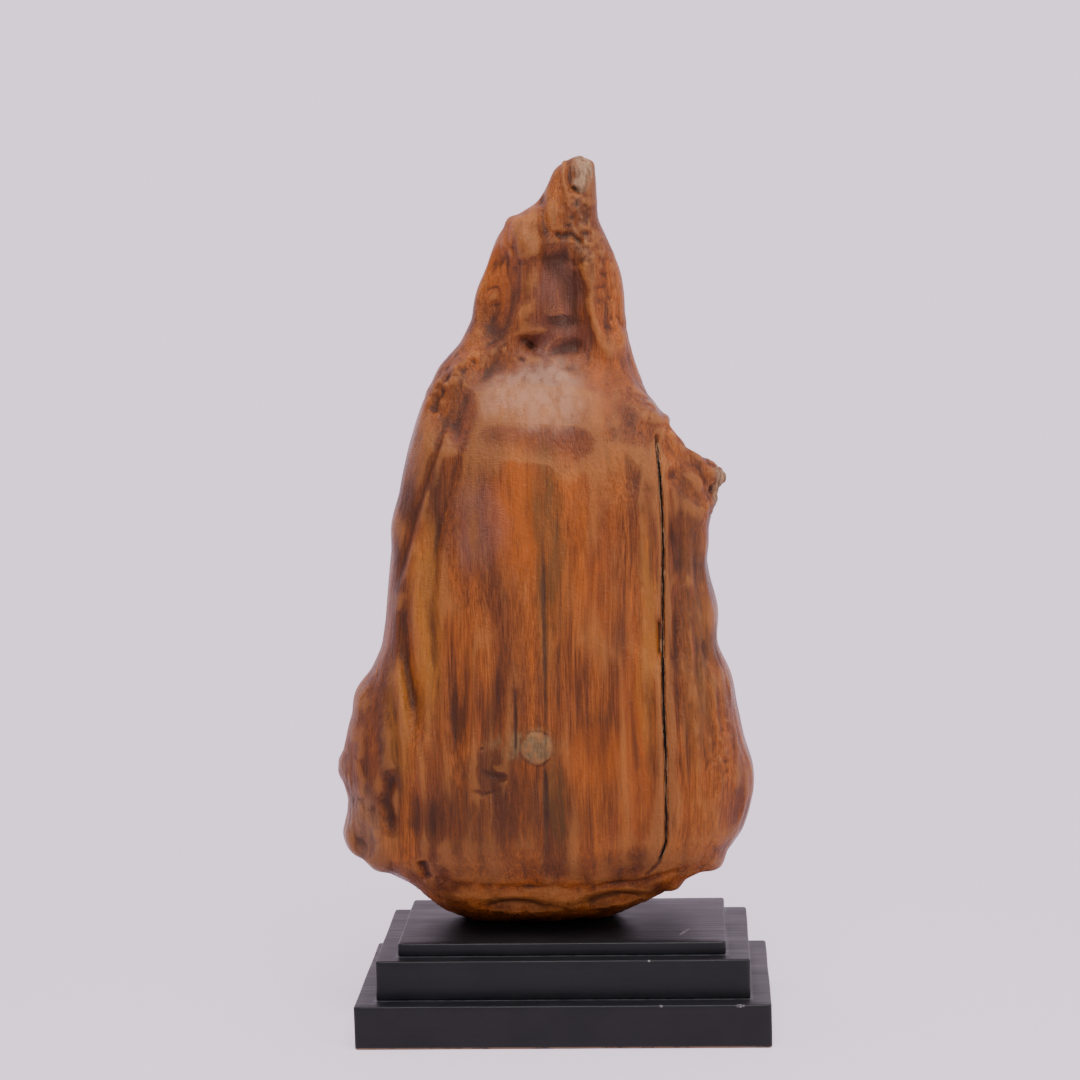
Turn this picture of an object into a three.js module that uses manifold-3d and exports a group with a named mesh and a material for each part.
// A seated figure carved from one standing log, on a stand of three stacked boards.
// The figure faces -Y, and the rough, adzed back of the log faces +Y.
// The origin is the centre of the stand's underside. Sizes are in millimetres.

import * as THREE from "three";
import { mergeVertices } from "three/addons/utils/BufferGeometryUtils.js";
import Module from "manifold-3d";

const wasm = await Module();
wasm.setup();

// Stand: a 10 by 6 inch bottom board, and two smaller boards laid a little off its middle
const BOTTOM_BOARD = { minX: -127, maxX: 127, minY: -76, maxY: 76, thickness: 27 };
const MIDDLE_BOARD = { minX: -114.5, maxX: 114.5, minY: -68, maxY: 62.5, thickness: 24.5 };
const TOP_BOARD = { minX: -100, maxX: 101.5, minY: -61, maxY: 51, thickness: 8 };
const BOARD_CORNER_RADIUS = 2.5;
const BOARD_EDGE_EASING = 1.5;

// Log: where it stands, where it ends
const LOG_FOOT = BOTTOM_BOARD.thickness + MIDDLE_BOARD.thickness + TOP_BOARD.thickness;
const LOG_PEAK = 539;
const LOG_SIDES = 28;
const LOG_ROWS = 36;
const LOG_ROW_CROWDING = 0.3;
const FRONT_SHARE_OF_SIDES = 0.4;

// Log outline: [height, distance] pairs from the peak down, +X edge and -X edge
const PLUS_X_EDGE = [
  [539, -16], [531, -3], [512, 6], [503, 23], [492, 33], [463, 44], [428, 54], [417, 66], [396, 78],
  [352, 93], [302, 102.5], [240, 110.5], [213, 123.5], [186, 133.5], [158, 138], [140, 134.5], [118, 140],
  [109, 136], [103, 125], [96, 110], [88, 96], [72, 84], [LOG_FOOT, 64],
];
const MINUS_X_EDGE = [
  [539, -21], [530, -26.5], [500, -27], [484, -34], [462, -41], [425, -44.5], [394, -55.5], [374, -69],
  [356, -78], [345, -89], [331, -98], [314, -93.5], [287, -91.5], [262, -96.5], [237, -97.5], [212, -106],
  [174, -114], [150, -119], [123, -113], [106, -101], [100, -95], [94, -84], [88, -73], [70, -48],
  [LOG_FOOT, -32],
];

// Log depth: [height, distance] pairs from the peak down, back and front
const BACK_EDGE = [
  [539, -2], [528, 6], [505, 11], [480, 15], [440, 17], [414, 20], [392, 35], [372, 45], [340, 49],
  [260, 54], [180, 58], [120, 57], [101, 52], [93, 46], [77, 32], [64, 12], [LOG_FOOT, 0],
];
const FRONT_EDGE = [
  [539, -7], [528, -13], [505, -19], [460, -28], [400, -37], [340, -43], [260, -47], [200, -53],
  [150, -61], [110, -66], [92, -61], [76, -52], [66, -47], [LOG_FOOT, -42],
];
const BACK_FLATNESS = 3.1;
const FRONT_FLATNESS = 2.5;
const PEAK_FLATNESS = 2;

// Hollows (minus) and swellings (plus) of the back: [x, z, half width, half height, depth]
const BACK_RELIEF = [
  [-9, 455, 12, 34, -8],
  [-8, 425, 14, 18, -5],
  [14, 462, 6, 40, 4],
  [-30, 448, 7, 36, 5],
  [22, 490, 10, 12, 6],
  [-12, 492, 11, 5, -5],
  [40, 440, 10, 26, -5],
  [62, 404, 10, 10, -4],
  [48, 418, 12, 8, 5],
  [-44, 392, 14, 16, -8],
  [-78, 300, 9, 60, -4],
  [97, 250, 7, 90, 3],
  [112, 150, 8, 50, -5],
  [88, 140, 7, 45, -3],
  [0, 240, 60, 120, 1.5],
];

// Side branch: a broken stump with the shoulder of wood that leads to it
const STUMP_LINE = [[-42, 18, 384], [-62, 18, 359], [-82, 10, 343], [-104, 0, 339]];
const STUMP_RADII = [10, 15, 12, 9];

// Knot plug and drying check on the back
const PLUG = { x: 13, z: 182, radius: 9.5, proud: 1, depth: 6 };
const CHECK_WIDTH = 1.8;
const CHECK_DEPTH = 15;
const CHECK_LINE = [[-59, 366], [-61.5, 330], [-62, 250], [-62.5, 180], [-63, 108]];

// Niche: the hollow scooped out around the seated figure
const NICHE = { bottom: 108, top: 452, frontY: -70, floorY: -14, rim: 21, flatness: 3.6 };

// Seated figure: its middle and its levels
const FIGURE_X = 6;
const HEAD = { y: -36, z: 349, halfWidth: 26.5, halfDepth: 28, halfHeight: 35 };
const TOPKNOT = { y: -34, z: 386, radius: 14 };
const HALO = { y: -18, z: 352, radius: 50, thickness: 9, rim: 2.6 };
const EAR = { line: [[25, 3, 12], [28, 4, 1], [27, 4, -14], [25.5, 3, -26]], radii: [5, 7.5, 4.6, 5.4] };
const HAIR = { lift: 5, set: 3, grow: 0.8, curl: 2.6, sides: 20, rows: 10 };
const CHEST_Y = -24;
const TORSO_TOP = 308;
const TORSO_FOOT = 150;

// Torso girth: [height, half width] and [height, half depth]
const TORSO_WIDTH = [
  [306, 18], [300, 35], [292, 53], [280, 61], [262, 60], [240, 52], [215, 43], [190, 41], [150, 48],
];
const TORSO_DEPTH = [[306, 12], [292, 20], [270, 25], [240, 27], [215, 24], [190, 26], [150, 30]];

// Limbs of the +X side, measured from the figure's middle; the -X side mirrors them unless it is named
const UPPER_ARM = {
  line: [[50, -24, 283], [65, -25, 262], [73, -28, 232], [77, -33, 205]],
  radii: [17, 17, 15, 13.5],
};
const FOREARM = {
  line: [[77, -34, 205], [66, -50, 190], [42, -60, 178], [20, -63, 171]],
  radii: [13.5, 13, 10.5, 8.5],
};
const THIGH = { line: [[20, -22, 148], [60, -32, 142], [97, -40, 134]], radii: [26, 25, 20] };
const LOWER_SHIN = {
  line: [[97, -42, 131], [52, -54, 127], [6, -58, 125], [-40, -53, 127]],
  radii: [19, 15, 12.5, 11],
};
const UPPER_SHIN = {
  line: [[-97, -42, 132], [-52, -55, 138], [-6, -59, 144], [34, -53, 151]],
  radii: [19, 15, 12.5, 10],
};
const FOOT = { line: [[32, -54, 152], [50, -52, 155], [68, -46, 153]], radii: [9, 11, 9] };
const TOES = { count: 5, first: [69, -52, 154], step: [1.2, 3.4, -0.3], half: [4.6, 2.6, 3.4], taper: 0.3 };
const LAP = { middle: [0, -34, 117], half: [86, 32.5, 22] };
const NECK = { line: [[0, -28, 292], [0, -31, 308], [0, -33, 326]], radii: [19, 16.5, 16] };

// Hands in the lap, the -X one on top
const PALM = { line: [[26, -54, 171], [10, -57, 167], [-6, -58, 165]], radii: [9, 13, 11] };
const FINGER = { line: [[-2, -65, 161], [-18, -66, 160], [-33, -61, 162]], radii: [4.8, 4.5, 3.6] };
const FINGER_STEP = { y: 4.2, z: 3.6 };
const THUMB = { line: [[23, -52, 183], [13, -54, 188], [1.5, -55, 191]], radii: [5, 4.6, 3.8] };
const TOP_HAND_LIFT = { y: 3, z: 8 };

// Robe: the hem runs from the covered shoulder to the far side of the waist, and the folds fan out from it
const ROBE = {
  folds: 5, steps: 6, shoulder: [17, 298], waist: [-36, 208], shoulderStep: 9, waistStep: [16, -7], sag: 5,
};
const FOLD_GIRTH = 2.6;
const SLEEVE_FOLD_ANGLES = [-35, 0, 35];
const SHIN_FOLD_ANGLES = [48, 10, -28];

// Lotus seat
const SEAT_BODY = { y: -24, z: 98, halfWidth: 86, halfDepth: 42, halfHeight: 17 };
const PETALS = { count: 9, step: 16.5, foot: 84, top: 111, halfWidth: 13.5, thickness: 0.34 };

// A smooth line through [height, distance] pairs that never swings past them
function profile(pairs) {
  const z = pairs.map((pair) => pair[0]);
  const d = pairs.map((pair) => pair[1]);
  const slope = z.slice(1).map((value, i) => (d[i + 1] - d[i]) / (value - z[i]));
  const tangent = z.map((_, i) => {
    if (i === 0) return slope[0];
    if (i === z.length - 1) return slope[i - 1];
    if (slope[i - 1] * slope[i] <= 0) return 0;
    return (2 * slope[i - 1] * slope[i]) / (slope[i - 1] + slope[i]);
  });
  return (height) => {
    let i = 0;
    while (i < z.length - 2 && height < z[i + 1]) i += 1;
    const span = z[i + 1] - z[i];
    const t = THREE.MathUtils.clamp((height - z[i]) / span, 0, 1);
    const t2 = t * t;
    const t3 = t2 * t;
    return (2 * t3 - 3 * t2 + 1) * d[i] + (t3 - 2 * t2 + t) * span * tangent[i]
      + (3 * t2 - 2 * t3) * d[i + 1] + (t3 - t2) * span * tangent[i + 1];
  };
}

// A closed body: a sphere whose vertices are set by place(u, v), where u runs round it from 0 to 1
// and v from 0 at the top to 1 at the foot
function ringBody(sides, rows, place) {
  const geometry = new THREE.SphereGeometry(1, sides, rows);
  const { position, uv } = geometry.attributes;
  for (let i = 0; i < position.count; i += 1) {
    const p = place(uv.getX(i), 1 - uv.getY(i));
    position.setXYZ(i, p.x, p.y, p.z);
  }
  return geometry;
}

// The same closed body as a solid that can be joined and cut
function solid(geometry) {
  const bare = geometry.clone();
  bare.deleteAttribute("normal");
  bare.deleteAttribute("uv");
  const merged = mergeVertices(bare);
  return new wasm.Manifold(new wasm.Mesh({
    numProp: 3,
    vertProperties: new Float32Array(merged.attributes.position.array),
    triVerts: new Uint32Array(merged.index.array),
  }));
}

const power = (value, exponent) => Math.sign(value) * Math.abs(value) ** exponent;
const bump = (value, centre, halfWidth) => Math.exp(-(((value - centre) / halfWidth) ** 2));
const degrees = (value) => THREE.MathUtils.degToRad(value);

const plusX = profile(PLUS_X_EDGE);
const minusX = profile(MINUS_X_EDGE);
const backY = profile(BACK_EDGE);
const frontY = profile(FRONT_EDGE);
const torsoWidth = profile(TORSO_WIDTH);
const torsoDepth = profile(TORSO_DEPTH);

// Row heights crowd together towards the peak and the foot, where the log narrows
function logHeight(v) {
  const share = Math.min(v / (1 - 1 / LOG_ROWS), 1);
  const eased = share - (LOG_ROW_CROWDING * Math.sin(2 * Math.PI * share)) / (2 * Math.PI);
  return THREE.MathUtils.lerp(LOG_PEAK, LOG_FOOT, eased);
}

// How square the log is at a height: round at the peak and the foot, flat-backed between
function logFlatness(z, isBack) {
  const belowPeak = THREE.MathUtils.smoothstep(LOG_PEAK - z, 40, 160);
  const fullness = belowPeak * THREE.MathUtils.smoothstep(z, LOG_FOOT, 100);
  return THREE.MathUtils.lerp(PEAK_FLATNESS, isBack ? BACK_FLATNESS : FRONT_FLATNESS, fullness);
}

// The log's back or front surface at a place across it, -1 to 1, and a height
function logY(across, z, isBack) {
  const middle = (backY(z) + frontY(z)) / 2;
  const halfDepth = (backY(z) - frontY(z)) / 2;
  const flatness = logFlatness(z, isBack);
  const along = Math.max(0, 1 - Math.abs(across) ** flatness) ** (1 / flatness);
  if (!isBack) return middle - along * halfDepth;
  const x = (minusX(z) + plusX(z)) / 2 + (across * (plusX(z) - minusX(z))) / 2;
  let relief = 0;
  for (const [cx, cz, halfWidth, halfHeight, depth] of BACK_RELIEF) {
    relief += depth * bump(x, cx, halfWidth) * bump(z, cz, halfHeight);
  }
  return middle + along * (halfDepth + relief);
}

const backAt = (x, z) => logY((2 * x - minusX(z) - plusX(z)) / (plusX(z) - minusX(z)), z, true);

function makeLog() {
  return ringBody(LOG_SIDES, LOG_ROWS, (u, v) => {
    const z = logHeight(v);
    const middleX = (minusX(z) + plusX(z)) / 2;
    if (v === 0 || v === 1) return new THREE.Vector3(middleX, (backY(z) + frontY(z)) / 2, z);
    const isBack = u > FRONT_SHARE_OF_SIDES;
    const angle = isBack
      ? Math.PI * (1 + (u - FRONT_SHARE_OF_SIDES) / (1 - FRONT_SHARE_OF_SIDES))
      : (Math.PI * u) / FRONT_SHARE_OF_SIDES;
    const across = -power(Math.cos(angle), 2 / logFlatness(z, isBack));
    return new THREE.Vector3(middleX + (across * (plusX(z) - minusX(z))) / 2, logY(across, z, isBack), z);
  });
}

// A limb, a finger or a fold: a sphere drawn out along a smooth line, its girth read from radii,
// flattened across the given direction
function limb({ line, radii }, { sides = 8, rows = 7, flat = 1, facing = [0, 0, 1], bluntness = 6 } = {}) {
  const curve = new THREE.CatmullRomCurve3(line.map((p) => new THREE.Vector3(p[0] + FIGURE_X, p[1], p[2])));
  const reference = new THREE.Vector3(...facing).normalize();
  return solid(ringBody(sides, rows, (u, v) => {
    const t = 0.5 - 0.5 * Math.cos(Math.PI * v);
    const tangent = curve.getTangentAt(t);
    const across = new THREE.Vector3().crossVectors(tangent, reference).normalize();
    const normal = new THREE.Vector3().crossVectors(across, tangent);
    const place = t * (radii.length - 1);
    const i = Math.min(Math.floor(place), radii.length - 2);
    const girth = THREE.MathUtils.lerp(radii[i], radii[i + 1], place - i);
    const radius = girth * Math.sqrt(Math.max(0, 1 - Math.abs(2 * t - 1) ** bluntness));
    const angle = u * Math.PI * 2;
    return curve.getPointAt(t)
      .addScaledVector(across, radius * Math.cos(angle))
      .addScaledVector(normal, radius * flat * Math.sin(angle));
  }));
}

// A rounded lump of given half sizes
function lump([x, y, z], half, sides = 12, rows = 8) {
  const geometry = new THREE.SphereGeometry(1, sides, rows);
  geometry.rotateX(Math.PI / 2);
  geometry.scale(...half);
  geometry.translate(x + FIGURE_X, y, z);
  return solid(geometry);
}

const mirror = ({ line, radii }) => ({ line: line.map(([x, y, z]) => [-x, y, z]), radii });
const shift = ({ line, radii }, dx, dy, dz) => ({
  line: line.map(([x, y, z]) => [x + dx, y + dy, z + dz]),
  radii,
});

// The scooped niche, wide at the knees and pointed over the head
function makeNiche() {
  return solid(ringBody(18, 11, (u, v) => {
    const z = THREE.MathUtils.lerp(NICHE.top, NICHE.bottom, v);
    const left = minusX(z) + NICHE.rim;
    const right = plusX(z) - NICHE.rim;
    const close = Math.sqrt(Math.max(0, 1 - Math.abs(2 * v - 1) ** 5));
    const angle = u * Math.PI * 2;
    const across = -power(Math.cos(angle), 2 / NICHE.flatness);
    const along = -power(Math.sin(angle), 2 / NICHE.flatness);
    const halfWidth = Math.max(6, (right - left) / 2) * close;
    const halfDepth = (NICHE.floorY - NICHE.frontY) * close;
    return new THREE.Vector3((left + right) / 2 + across * halfWidth, NICHE.frontY + along * halfDepth, z);
  }));
}

// The torso: rings from the base of the neck to the lap
function makeTorso() {
  return solid(ringBody(16, 10, (u, v) => {
    const z = THREE.MathUtils.lerp(TORSO_TOP, TORSO_FOOT, v);
    const close = Math.sqrt(Math.max(0, 1 - Math.abs(2 * v - 1) ** 14));
    const angle = u * Math.PI * 2;
    return new THREE.Vector3(
      FIGURE_X - power(Math.cos(angle), 0.8) * torsoWidth(z) * close,
      CHEST_Y - power(Math.sin(angle), 0.9) * torsoDepth(z) * close,
      z,
    );
  }));
}

// A raised fold that follows a limb, on the side that faces the given way
function foldOn({ line, radii }, [dx, dy, dz], girth, reach = 0.94) {
  const raised = line.map(([x, y, z], i) => {
    const r = radii[i] * reach;
    return [x + dx * r, y + dy * r, z + dz * r];
  });
  return limb({ line: raised, radii: [girth * 0.5, girth, girth * 0.5] }, { sides: 4, rows: 5 });
}

// The robe: one hem from the covered shoulder to the waist, and the folds that fan out beside it
function makeRobeFolds() {
  const onChest = (x, z) => {
    const across = Math.min(0.97, Math.abs(x) / torsoWidth(z)) ** 1.25;
    return CHEST_Y - torsoDepth(z) * Math.sqrt(1 - across * across) ** 0.9;
  };
  const folds = [];
  for (let k = 0; k < ROBE.folds; k += 1) {
    const from = [ROBE.shoulder[0] + ROBE.shoulderStep * k, ROBE.shoulder[1] - k * k];
    const to = [ROBE.waist[0] + ROBE.waistStep[0] * k, ROBE.waist[1] + ROBE.waistStep[1] * k];
    const isHem = k === 0;
    const line = [];
    for (let step = 0; step <= ROBE.steps; step += 1) {
      const t = step / ROBE.steps;
      const x = THREE.MathUtils.lerp(from[0], to[0], t);
      const z = THREE.MathUtils.lerp(from[1], to[1], t) - ROBE.sag * Math.sin(Math.PI * t);
      line.push([x, onChest(x, z) - (isHem ? 0.6 : 0), z]);
    }
    const radii = isHem ? [3.4, 3.4] : [2.4, 2.8, 2];
    folds.push(limb({ line, radii }, { sides: 4, rows: 7, bluntness: 12 }));
  }
  for (const angle of SLEEVE_FOLD_ANGLES) {
    folds.push(foldOn(UPPER_ARM, [Math.sin(degrees(angle)), -Math.cos(degrees(angle)), 0], FOLD_GIRTH));
  }
  for (const angle of SHIN_FOLD_ANGLES) {
    const outward = [0, -Math.cos(degrees(angle)), Math.sin(degrees(angle))];
    folds.push(foldOn(UPPER_SHIN, outward, FOLD_GIRTH));
    if (angle < 40) folds.push(foldOn(LOWER_SHIN, outward, FOLD_GIRTH));
  }
  return folds;
}

// The hem that spreads over the seat's front, in pleats
function makeHem() {
  return [-2, -1, 0, 1, 2].map((k) => limb({
    line: [
      [5 * k, -64 + Math.abs(k), 124],
      [8 * k, -66 + 1.4 * Math.abs(k), 113],
      [10 * k, -67 + Math.abs(k), 105],
    ],
    radii: [3, 5.2, 5],
  }, { sides: 4, rows: 3 }));
}

// The head: an egg, narrower at the jaw
const jawWidth = (up) => (up < 0 ? 1 - 0.22 * up * up : 1);
function makeSkull() {
  return solid(ringBody(18, 13, (u, v) => {
    const angle = u * Math.PI * 2;
    const up = Math.cos(Math.PI * v);
    const around = Math.sin(Math.PI * v) * jawWidth(up);
    return new THREE.Vector3(
      FIGURE_X - HEAD.halfWidth * around * Math.cos(angle),
      HEAD.y - HEAD.halfDepth * around * Math.sin(angle),
      HEAD.z + HEAD.halfHeight * up,
    );
  }));
}

// The face: every feature is set on the skull, at [across, up] from the head's middle
function makeFace() {
  const onSkull = ([x, z, proud = 0]) => {
    const up = z / HEAD.halfHeight;
    const around = Math.sqrt(1 - up * up) * jawWidth(up);
    const depth = Math.sqrt(Math.max(0, around * around - (x / HEAD.halfWidth) ** 2));
    return [x, HEAD.y - HEAD.halfDepth * depth - proud, HEAD.z + z];
  };
  const feature = (places, radii, turn = 1) => limb(
    { line: places.map(([x, z, proud]) => onSkull([x * turn, z, proud])), radii },
    { sides: 5, rows: 4 },
  );
  const parts = [
    feature([[0, 12, -1], [0, 3, 2], [0, -6, 4]], [2.3, 3.2, 4.6]),
    feature([[-8, -13.4, 0], [0, -12.2, 1.6], [8, -13.4, 0]], [1.3, 2.3, 1.3]),
    feature([[-6, -16, 0], [0, -17.6, 1.6], [6, -16, 0]], [1.5, 2.5, 1.5]),
    lump(onSkull([0, -26, -3]), [8, 5.5, 6], 6, 4),
  ];
  for (const side of [1, -1]) {
    parts.push(feature([[3, 11], [11, 14.5, 0.4], [20, 10.5]], [1.7, 2, 1.3], side));
    parts.push(lump(onSkull([side * 10.5, 5, -2.2]), [7, 4.2, 3.6], 8, 4));
    parts.push(lump(onSkull([side * 4, -7, 0.4]), [3, 3, 2.6], 5, 3));
    const placed = shift(side > 0 ? EAR : mirror(EAR), 0, HEAD.y, HEAD.z);
    parts.push(limb(placed, { sides: 6, rows: 6, flat: 0.62, facing: [1, 0, 0] }));
  }
  return parts;
}

// A cap of curls: a rounded body on which every second vertex stands out
function curlyCap([x, y, z], half, sides, rows, height) {
  return solid(ringBody(sides, rows, (u, v) => {
    const isPole = v === 0 || v === 1;
    const raised = isPole || (Math.round(u * sides) + Math.round(v * rows)) % 2 === 0 ? height : 0;
    const angle = u * Math.PI * 2;
    const direction = new THREE.Vector3(
      -Math.sin(Math.PI * v) * Math.cos(angle),
      -Math.sin(Math.PI * v) * Math.sin(angle),
      Math.cos(Math.PI * v),
    );
    return new THREE.Vector3(x + FIGURE_X, y, z)
      .addScaledVector(direction, raised)
      .add(new THREE.Vector3(direction.x * half[0], direction.y * half[1], direction.z * half[2]));
  }));
}

// The hair: curls over the crown and the topknot, and a small flame above it
function makeHair() {
  const { radius } = TOPKNOT;
  const crown = [HEAD.halfWidth + 2 * HAIR.grow, HEAD.halfDepth + HAIR.grow, HEAD.halfHeight + HAIR.grow];
  return [
    curlyCap([0, HEAD.y + HAIR.set, HEAD.z + HAIR.lift], crown, HAIR.sides, HAIR.rows, HAIR.curl),
    curlyCap([0, TOPKNOT.y, TOPKNOT.z], [radius, radius, radius], 10, 6, HAIR.curl),
    limb({
      line: [[0, TOPKNOT.y, 396], [0, TOPKNOT.y, 406], [0, TOPKNOT.y, 417]],
      radii: [8, 6.5, 2],
    }, { sides: 6, rows: 4, facing: [0, 1, 0] }),
  ];
}

function makeArmsAndHands() {
  const parts = [];
  for (const turn of [(part) => part, mirror]) {
    parts.push(limb(turn(UPPER_ARM), { rows: 6 }), limb(turn(FOREARM), { sides: 7, rows: 6 }));
  }
  const hands = [(part) => part, (part) => shift(mirror(part), 0, TOP_HAND_LIFT.y, TOP_HAND_LIFT.z)];
  for (const turn of hands) {
    parts.push(limb(turn(PALM), { sides: 6, rows: 5, flat: 0.6, facing: [0, -0.6, 0.8] }));
    for (let k = 0; k < 4; k += 1) {
      const finger = shift(FINGER, 0, FINGER_STEP.y * k, FINGER_STEP.z * k);
      parts.push(limb(turn(finger), { sides: 4, rows: 4 }));
    }
  }
  parts.push(limb(THUMB, { sides: 5, rows: 4 }), limb(mirror(THUMB), { sides: 5, rows: 4 }));
  return parts;
}

function makeLegs() {
  const parts = [THIGH, mirror(THIGH), LOWER_SHIN, UPPER_SHIN].map((part) => limb(part));
  parts.push(lump(LAP.middle, LAP.half, 12, 5));
  parts.push(limb(FOOT, { sides: 8, rows: 6, flat: 0.6 }));
  for (let k = 0; k < TOES.count; k += 1) {
    const [x, y, z] = TOES.first.map((value, i) => value + TOES.step[i] * k);
    parts.push(lump([x, y, z], [TOES.half[0] - TOES.taper * k, TOES.half[1], TOES.half[2]], 5, 3));
  }
  return parts;
}

// The lotus seat: a rounded drum with a row of upright petals round its front
function makeSeat() {
  const drum = [SEAT_BODY.halfWidth, SEAT_BODY.halfDepth, SEAT_BODY.halfHeight];
  const parts = [lump([0, SEAT_BODY.y, SEAT_BODY.z], drum, 20, 5)];
  const middle = (PETALS.count - 1) / 2;
  for (let k = -middle; k <= middle; k += 1) {
    const angle = degrees(k * PETALS.step);
    const [x, y] = [Math.sin(angle), -Math.cos(angle)];
    const at = (reach, z) => [
      x * (SEAT_BODY.halfWidth + reach),
      SEAT_BODY.y + y * (SEAT_BODY.halfDepth + reach),
      z,
    ];
    const width = PETALS.halfWidth * (0.72 + 0.28 * Math.cos(angle));
    parts.push(limb({
      line: [at(-6, PETALS.foot), at(-1, (PETALS.foot + PETALS.top) / 2), at(0, PETALS.top)],
      radii: [width * 0.7, width, width * 0.25],
    }, { sides: 6, rows: 4, flat: PETALS.thickness, facing: [x, y, 0], bluntness: 4 }));
  }
  return parts;
}

// The halo: a plain round disc with a raised edge, behind the head
function makeHalo() {
  const disc = new THREE.CylinderGeometry(HALO.radius, HALO.radius, HALO.thickness, 16);
  disc.translate(0, HALO.thickness / 2, 0);
  const edge = new THREE.TorusGeometry(HALO.radius - HALO.rim, HALO.rim, 4, 16);
  edge.rotateX(Math.PI / 2);
  return [disc, edge].map((geometry) => solid(geometry.translate(FIGURE_X, HALO.y, HALO.z)));
}

// The filled knot on the back
function makePlug() {
  const plug = new THREE.CylinderGeometry(PLUG.radius, PLUG.radius, PLUG.depth, 14);
  return solid(plug.translate(PLUG.x, backAt(PLUG.x, PLUG.z) + PLUG.proud - PLUG.depth / 2, PLUG.z));
}

// The drying check that runs down beside it
function makeCheck() {
  const line = CHECK_LINE.map(([x, z]) => [x - FIGURE_X, backAt(x, z), z]);
  return limb({ line, radii: [CHECK_DEPTH * 0.6, CHECK_DEPTH, CHECK_DEPTH, CHECK_DEPTH * 0.7] }, {
    sides: 6,
    rows: 12,
    flat: CHECK_WIDTH / (2 * CHECK_DEPTH),
    facing: [1, 0, 0],
    bluntness: 20,
  });
}

const stumpLimb = shift({ line: STUMP_LINE, radii: STUMP_RADII }, -FIGURE_X, 0, 0);
const stump = limb(stumpLimb, { sides: 12, rows: 8 });
const seatedFigure = wasm.Manifold.union([
  makeTorso(), limb(NECK, { sides: 12, rows: 5, bluntness: 12 }), makeSkull(), ...makeFace(), ...makeHair(),
  ...makeArmsAndHands(), ...makeLegs(), ...makeRobeFolds(), ...makeHem(), ...makeSeat(), ...makeHalo(),
]);
const figure = solid(makeLog())
  .add(stump)
  .subtract(makeNiche())
  .add(seatedFigure)
  .add(makePlug())
  .subtract(makeCheck());

function toGeometry(body) {
  const mesh = body.getMesh();
  const geometry = new THREE.BufferGeometry();
  geometry.setAttribute("position", new THREE.BufferAttribute(new Float32Array(mesh.vertProperties), 3));
  geometry.setIndex(new THREE.BufferAttribute(new Uint32Array(mesh.triVerts), 1));
  geometry.computeVertexNormals();
  return geometry;
}

const woodMaterial = new THREE.MeshStandardMaterial({ color: 0x9a4a20, roughness: 0.42, metalness: 0 });
const paintMaterial = new THREE.MeshStandardMaterial({ color: 0x2b2e33, roughness: 0.5, metalness: 0 });

// A board with eased edges and slightly rounded corners
function makeBoard(board, underside, name) {
  const inset = BOARD_EDGE_EASING;
  const [x0, x1] = [board.minX + inset, board.maxX - inset];
  const [y0, y1] = [board.minY + inset, board.maxY - inset];
  const r = BOARD_CORNER_RADIUS - inset;
  const outline = new THREE.Shape();
  outline.moveTo(x0 + r, y0);
  outline.lineTo(x1 - r, y0);
  outline.absarc(x1 - r, y0 + r, r, -Math.PI / 2, 0);
  outline.lineTo(x1, y1 - r);
  outline.absarc(x1 - r, y1 - r, r, 0, Math.PI / 2);
  outline.lineTo(x0 + r, y1);
  outline.absarc(x0 + r, y1 - r, r, Math.PI / 2, Math.PI);
  outline.lineTo(x0, y0 + r);
  outline.absarc(x0 + r, y0 + r, r, Math.PI, 1.5 * Math.PI);
  const geometry = new THREE.ExtrudeGeometry(outline, {
    depth: board.thickness - 2 * inset,
    bevelThickness: inset,
    bevelSize: inset,
    bevelSegments: 1,
    curveSegments: 1,
  });
  geometry.translate(0, 0, underside + inset);
  const mesh = new THREE.Mesh(geometry, paintMaterial.clone());
  mesh.name = name;
  return mesh;
}

const group = new THREE.Group();
group.add(makeBoard(BOTTOM_BOARD, 0, "base_board_bottom"));
group.add(makeBoard(MIDDLE_BOARD, BOTTOM_BOARD.thickness, "base_board_middle"));
group.add(makeBoard(TOP_BOARD, BOTTOM_BOARD.thickness + MIDDLE_BOARD.thickness, "base_board_top"));
const carved = new THREE.Mesh(toGeometry(figure), woodMaterial);
carved.name = "carved_figure";
group.add(carved);

export default group;
